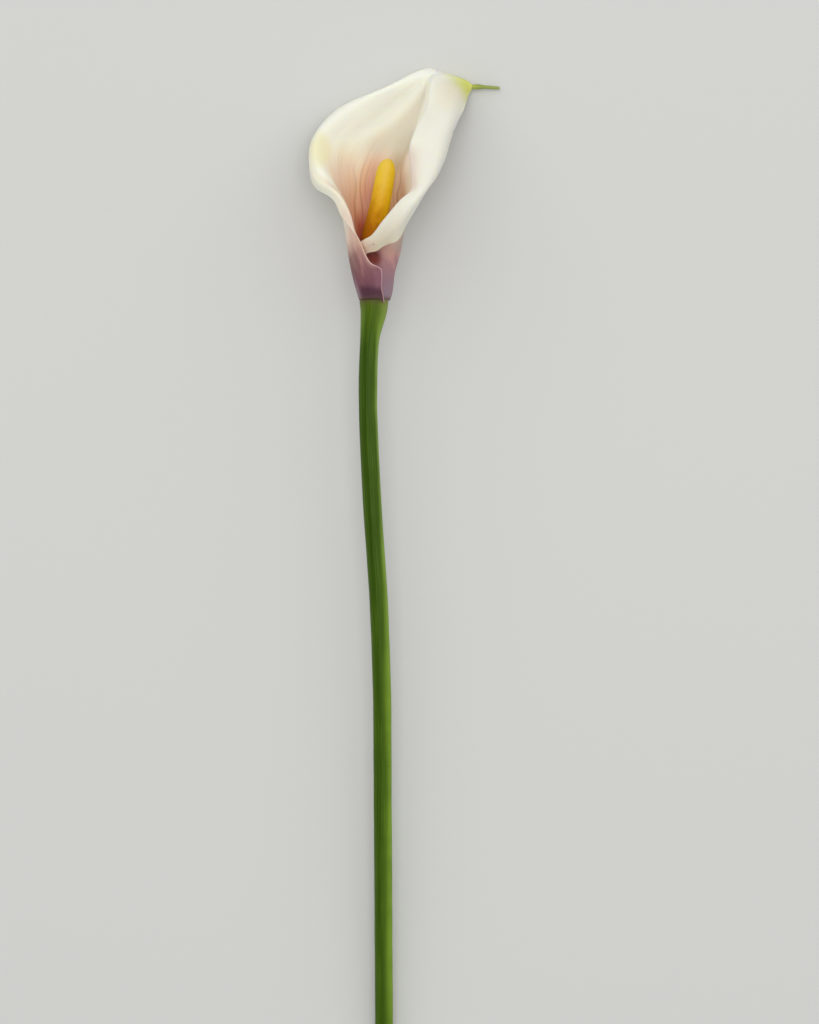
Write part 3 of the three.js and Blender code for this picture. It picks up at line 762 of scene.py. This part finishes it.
streak_share = add(petal_inner, "Math", {
    0: streak_lines.outputs["Color"], 1: streaky.outputs["Fac"],
}, operation="MULTIPLY")
inner_colour = add(petal_inner, "Mix", {
    0: streak_share.outputs[0], 6: inner_colour, 7: "a06c42",
}, data_type="RGBA").outputs[2]
inner_colour = tip_green(petal_inner, tinted(petal_inner, inner_colour, INNER_TINTS))
inner_place = add(petal_inner, "TexCoord")
speck_away = add(petal_inner, "VectorMath", {
    0: inner_place.outputs["Object"], 1: SPECK,
}, operation="DISTANCE")
speck = add(petal_inner, "MapRange", {
    "Value": speck_away.outputs["Value"], "From Min": SPECK_FULL, "From Max": SPECK_NONE,
    "To Min": 0.8, "To Max": 0,
})
inner_colour = add(petal_inner, "Mix", {
    0: speck.outputs[0], 6: inner_colour, 7: "6a5238",
}, data_type="RGBA").outputs[2]
petal_inner.node_tree.links.new(inner_colour, inner_skin.inputs["Base Color"])
leaf_bump(petal_inner, inner_skin)

mark = add(petal_edge, "Attribute", attribute_name="along")
low = add(petal_edge, "MapRange", {"Value": mark.outputs["Fac"], "From Min": 0, "From Max": PURPLE_LENGTH})
pale = add(petal_edge, "ValToRGB", {"Fac": low.outputs[0]}, stops=EDGE_STOPS)
petal_edge.node_tree.links.new(tip_green(petal_edge, pale.outputs["Color"]), edge_skin.inputs["Base Color"])


def tail_rows():
    """The tail's surface, from its root inside the leaf's tip to its blunt end, and the distance along."""
    distances = np.linspace(0, TAIL_LENGTH, TAIL_ROWS)
    places = np.linspace(0, len(TAIL_RADII) - 1, TAIL_ROWS)
    radii = smooth_line(np.array(TAIL_RADII)[:, None], places)[:, 0]
    radii[0] = radii[-1] = 0
    radii[-2] = radii[-3] * 0.85
    rows = np.repeat(radii[:, None], TAIL_SIDES + 1, axis=1)
    for j in range(1, TAIL_ROWS - 1):
        for i in range(TAIL_SIDES):
            angle = i * math.pi / (TAIL_SIDES / 2)
            rows[j, i] *= 1 + TAIL_LUMPS * noise.noise(Vector((math.cos(angle), math.sin(angle), j / 5)))
        rows[j, -1] = rows[j, 0]
    return bar(TAIL_LINE, distances, rows, TAIL_SIDES), np.repeat(distances[:, None], TAIL_SIDES + 1, axis=1)


tail_points, tail_distance = tail_rows()
tail = grow("spathe_tail", tail_points, along=tail_distance)
tail_mark = add(tail_finish, "Attribute", attribute_name="along")
tail_share = add(tail_finish, "MapRange", {
    "Value": tail_mark.outputs["Fac"], "From Min": 0, "From Max": TAIL_LENGTH,
})
tail_colour = add(tail_finish, "ValToRGB", {"Fac": tail_share.outputs[0]}, stops=[
    (0, "c2c84c"), (0.14, "adb44a"), (0.35, "97a24a"), (0.92, "98a356"), (1, "aab078"),
])
tail_finish.node_tree.links.new(tail_colour.outputs["Color"], tail_skin.inputs["Base Color"])
for finish in (petal_outer, petal_inner, petal_edge, tail_finish):
    leaf.data.materials.append(finish)
tail.data.materials.append(tail_finish)

# Leaf and tail are one grown piece, so the leaf takes its thickness and the tail is joined to it.
bpy.context.view_layer.update()
evaluated = leaf.evaluated_get(bpy.context.evaluated_depsgraph_get())
solid_leaf = bpy.data.meshes.new_from_object(evaluated)
leaf.modifiers.clear()
leaf.data = solid_leaf
with bpy.context.temp_override(active_object=leaf, object=leaf, selected_editable_objects=[leaf, tail]):
    bpy.ops.object.join()
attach(leaf, "root")
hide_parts("spathe")


# The spadix. A fleshy spike stands in the throat, packed all over with tiny florets in winding rows, and
# dusted with pollen. It thins a little to its round tip, and its yellow deepens to amber towards its foot.
SPADIX_LINE = [
    [0, 2.75, -0.3], [0, 5.4, -0.3], [-0.3, 12, 0], [-0.8, 26.3, 0.2], [0.9, 33.6, 0.5],
    [2.6, 40.9, 0.8], [4, 48.4, 1], [5.3, 55.8, 1], [6.3, 60.6, 1],
]
SPADIX_LENGTH = 58.6
SPADIX_LOW_RADIUS = 4.65
SPADIX_HIGH_RADIUS = 3.85
SPADIX_TIP = 7
TIP_BLUNTNESS = 2.2
SPADIX_ROWS = 290
SPADIX_SIDES = 136
# Each row of florets stands half a floret and a little more further round than the row below it.
FLORETS_ROUND = 30
FLORET_LENGTH = 0.86
FLORET_HEIGHT = 0.1
FLORET_TWIST = 0.21
FLORET_JITTER = 0.3
FLORET_NARROWNESS = 1.1
FLORET_STEEPNESS = 2.2


def spadix_rows():
    """The spike's surface, and its marks: the florets' domes, the distance along, and its painted light and
    shade.
    """
    share = np.linspace(0, 1, SPADIX_ROWS)
    distances = SPADIX_LENGTH * np.sin(math.pi / 2 * share ** 0.9)
    radii = SPADIX_LOW_RADIUS + (SPADIX_HIGH_RADIUS - SPADIX_LOW_RADIUS) * (distances / SPADIX_LENGTH) ** 3
    tip = np.clip((distances - SPADIX_LENGTH + SPADIX_TIP) / SPADIX_TIP, 0, 1)
    radii *= np.sqrt(np.clip(1 - tip ** TIP_BLUNTNESS, 0, 1))
    radii[0] = 0
    radii[1] = SPADIX_LOW_RADIUS * 0.8
    rows = np.repeat(radii[:, None], SPADIX_SIDES + 1, axis=1)
    dome = np.zeros_like(rows)
    turn = -2 * math.pi * np.arange(SPADIX_SIDES + 1) / SPADIX_SIDES
    right, up = np.cos(turn), np.sin(turn)
    # Painted light and shade: the right side is painted gold, the lower left side darker amber, and a
    # painted highlight lies on the upper face about halfway up.
    painted_light_right = 0.6 * np.repeat(ease(right, 0.1, 0.85)[None], SPADIX_ROWS, axis=0)
    painted_shade_left = 0.4 * ease(right, -0.1, -0.7) * ease(distances, 46, 30)[:, None]
    painted_highlight = 0.35 * hump(right, 0, 0.35) * ease(up, 0, 0.3) * ease(distances, 36, 48)[:, None]
    for j, distance in enumerate(distances):
        for i in range(SPADIX_SIDES + 1):
            across = FLORETS_ROUND * (i % SPADIX_SIDES) / SPADIX_SIDES
            height = distance / FLORET_LENGTH
            away = []
            for row in (math.floor(height), math.floor(height) + 1):
                shifted = across - 0.5 * (row % 2) - FLORET_TWIST * row
                floret = round(shifted)
                jitter = FLORET_JITTER * noise.noise(Vector((floret % FLORETS_ROUND * 1.7, row * 1.3, 2)))
                away.append(((shifted - floret - jitter) * FLORET_NARROWNESS) ** 2 + (height - row) ** 2)
            dome[j, i] = max(0, 1 - min(away) * FLORET_STEEPNESS)
    rows += (dome - 1) * FLORET_HEIGHT * np.minimum(1, rows / 2)
    placed = bar(SPADIX_LINE, distances, rows, SPADIX_SIDES)
    distances = np.repeat(distances[:, None], SPADIX_SIDES + 1, axis=1)
    return placed, {"dome": dome, "distance": distances, "painted_light_right": painted_light_right, "painted_shade_left": painted_shade_left, "painted_highlight": painted_highlight}


spadix_points, spadix_marks = spadix_rows()
spadix = grow("spadix_spike", spadix_points, **spadix_marks)

# Spadix: dull pollen dust over yellow florets. Light goes a little way in, and the furrows between the
# florets are painted a deeper orange than their tops as painted shade. Painted light pales the right side to
# gold, painted shade darkens the lower left to amber, and a painted highlight lies on its upper face. The
# dust lies in patches of about 4 mm, of grains of about 0.2 mm.
AMBER_END = 18
DUST_SCALE = 260
POLLEN_SCALE = 4500
SPADIX_STOPS = [
    (0, "a65a02"), (0.22, "b26c00"), (0.4, "d29508"), (0.6, "e7b426"), (0.8, "efc834"), (1, "f3d04e"),
]
SPADIX_TINTS = {"painted_light_right": "e2bc00", "painted_shade_left": "a05a00", "painted_highlight": "e6c468"}
spike, spike_skin = tissue("calla_spadix_pollen", roughness=0.78, specular=0.2, scatter=0.35, depth=0.9)
mark = add(spike, "Attribute", attribute_name="distance")
up = add(spike, "MapRange", {
    "Value": mark.outputs["Fac"], "From Min": AMBER_END, "From Max": SPADIX_LENGTH,
})
spike_place = add(spike, "TexCoord")
dust = add(spike, "TexNoise", {"Vector": spike_place.outputs["Object"], "Scale": DUST_SCALE, "Detail": 3})
spike_wander = add(spike, "MapRange", {
    "Value": dust.outputs["Fac"], "From Min": 0.3, "From Max": 0.7, "To Min": -0.07, "To Max": 0.07,
})
spike_moved = add(spike, "Math", {0: up.outputs[0], 1: spike_wander.outputs[0]}, operation="ADD")
yellow = add(spike, "ValToRGB", {"Fac": spike_moved.outputs[0]}, stops=SPADIX_STOPS)
dome_mark = add(spike, "Attribute", attribute_name="dome")
# Painted shade: the furrows between the florets are painted a deeper orange than their tops.
painted_furrow_shade = add(spike, "MapRange", {"Value": dome_mark.outputs["Fac"], "To Min": 0.25, "To Max": 0})
furrow_shaded = add(spike, "Mix", {
    0: painted_furrow_shade.outputs[0], 6: yellow.outputs["Color"], 7: "b87408",
}, data_type="RGBA")
spike_colour = tinted(spike, furrow_shaded.outputs[2], SPADIX_TINTS)
pollen = add(spike, "TexNoise", {
    "Vector": spike_place.outputs["Object"], "Scale": POLLEN_SCALE, "Detail": 2,
})
spike_bump = add(spike, "Bump", {"Height": pollen.outputs["Fac"], "Distance": 0.00004, "Strength": 0.8})
spike.node_tree.links.new(spike_colour, spike_skin.inputs["Base Color"])
spike.node_tree.links.new(spike_bump.outputs["Normal"], spike_skin.inputs["Normal"])
spadix.data.materials.append(spike)
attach(spadix, "root")
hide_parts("spadix")


# The floor: a plain pale board that the flower lies on, out past every view of it. Its matt face takes soft
# shadows and gives hardly any gloss.
FLOOR_SIDE = 12
floor_mesh = bmesh.new()
bmesh.ops.create_grid(floor_mesh, x_segments=1, y_segments=1, size=FLOOR_SIDE / 2)
floor_data = bpy.data.meshes.new("floor")
floor_mesh.to_mesh(floor_data)
floor_mesh.free()
floor = bpy.data.objects.new("floor", floor_data)
bpy.context.scene.collection.objects.link(floor)
paper = bpy.data.materials.new("matt_pale_board")
paper.use_nodes = True
paper_skin = paper.node_tree.nodes["Principled BSDF"]
paper_skin.inputs["Base Color"].default_value = linear("d4d4d1")
paper_skin.inputs["Roughness"].default_value = 0.95
paper_skin.inputs["Specular IOR Level"].default_value = 0.1
floor.data.materials.append(paper)


# The light: a bright even room, and three big soft lamps that face the flower. Each lamp has its place and
# its side in metres, and its watts.
SKY = 0.53
LAMP_AIM = (0, 0.1, 0)
LAMPS = {
    "soft_lamp_right": [(1.5, 0.6, 1.15), 1.8, 6],
    "soft_lamp_left": [(-1.3, 0.9, 1.2), 1.6, 5],
    "soft_lamp_above": [(0, 0.3, 1.9), 1.4, 13.5],
}
sky = bpy.data.worlds.new("soft_room")
sky.use_nodes = True
sky.node_tree.nodes["Background"].inputs["Color"].default_value = (1, 1, 1, 1)
sky.node_tree.nodes["Background"].inputs["Strength"].default_value = SKY
bpy.context.scene.world = sky
for name, (place, side, watts) in LAMPS.items():
    lamp_data = bpy.data.lights.new(name, "AREA")
    lamp_data.size = side
    lamp_data.energy = watts
    lamp = bpy.data.objects.new(name, lamp_data)
    bpy.context.scene.collection.objects.link(lamp)
    lamp.location = place
    lamp.rotation_euler = (Vector(LAMP_AIM) - lamp.location).to_track_quat("-Z", "Y").to_euler()
bpy.context.scene.view_settings.view_transform = "Standard"


# The camera: it looks straight down on the lying flower, as the photograph's looked straight at it. Its
# place is in metres, and its lens and sensor in millimetres.
CAMERA_PLACE = (0.0019, 0.0322, 1.2513)
CAMERA_LENS = 100
CAMERA_SENSOR = 36
camera_data = bpy.data.cameras.new("camera")
camera_data.lens = CAMERA_LENS
camera_data.sensor_width = CAMERA_SENSOR
camera = bpy.data.objects.new("camera", camera_data)
bpy.context.scene.collection.objects.link(camera)
camera.location = CAMERA_PLACE
bpy.context.scene.camera = camera
